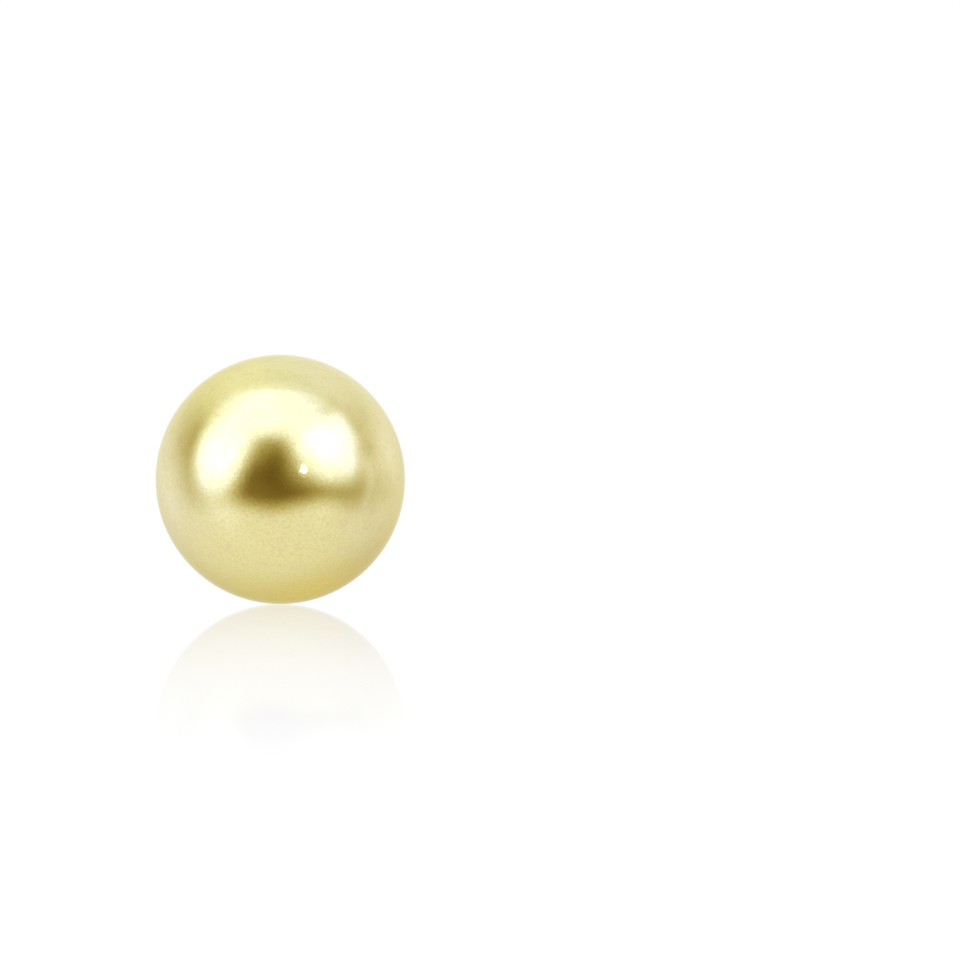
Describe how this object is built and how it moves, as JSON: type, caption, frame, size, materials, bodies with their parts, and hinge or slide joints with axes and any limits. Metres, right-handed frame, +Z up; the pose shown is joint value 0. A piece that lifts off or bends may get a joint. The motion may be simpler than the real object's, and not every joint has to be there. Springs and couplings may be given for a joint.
{
  "type": "pearl stud earring",
  "caption": "Round golden pearl on a straight ear post with a shallow cup behind it and a butterfly clutch near the post's tip, lying as it rests by itself.",
  "frame": {"origin": "on the ground below the middle of the whole earring, which rests on the underside of its pearl and the lower edge of its clutch", "axes": "+Z up, the pearl faces -Y, the post runs towards +Y and dips 12.6 degrees, and +X is the width"},
  "size_m": [0.01, 0.02, 0.01],
  "materials": {
    "pearl": "gloss",
    "gold": "polished"
  },
  "bodies": {
    "root": {"pearl": "pearl", "ear_post": "gold", "ear_clutch": "gold"}
  },
  "joints": []
}
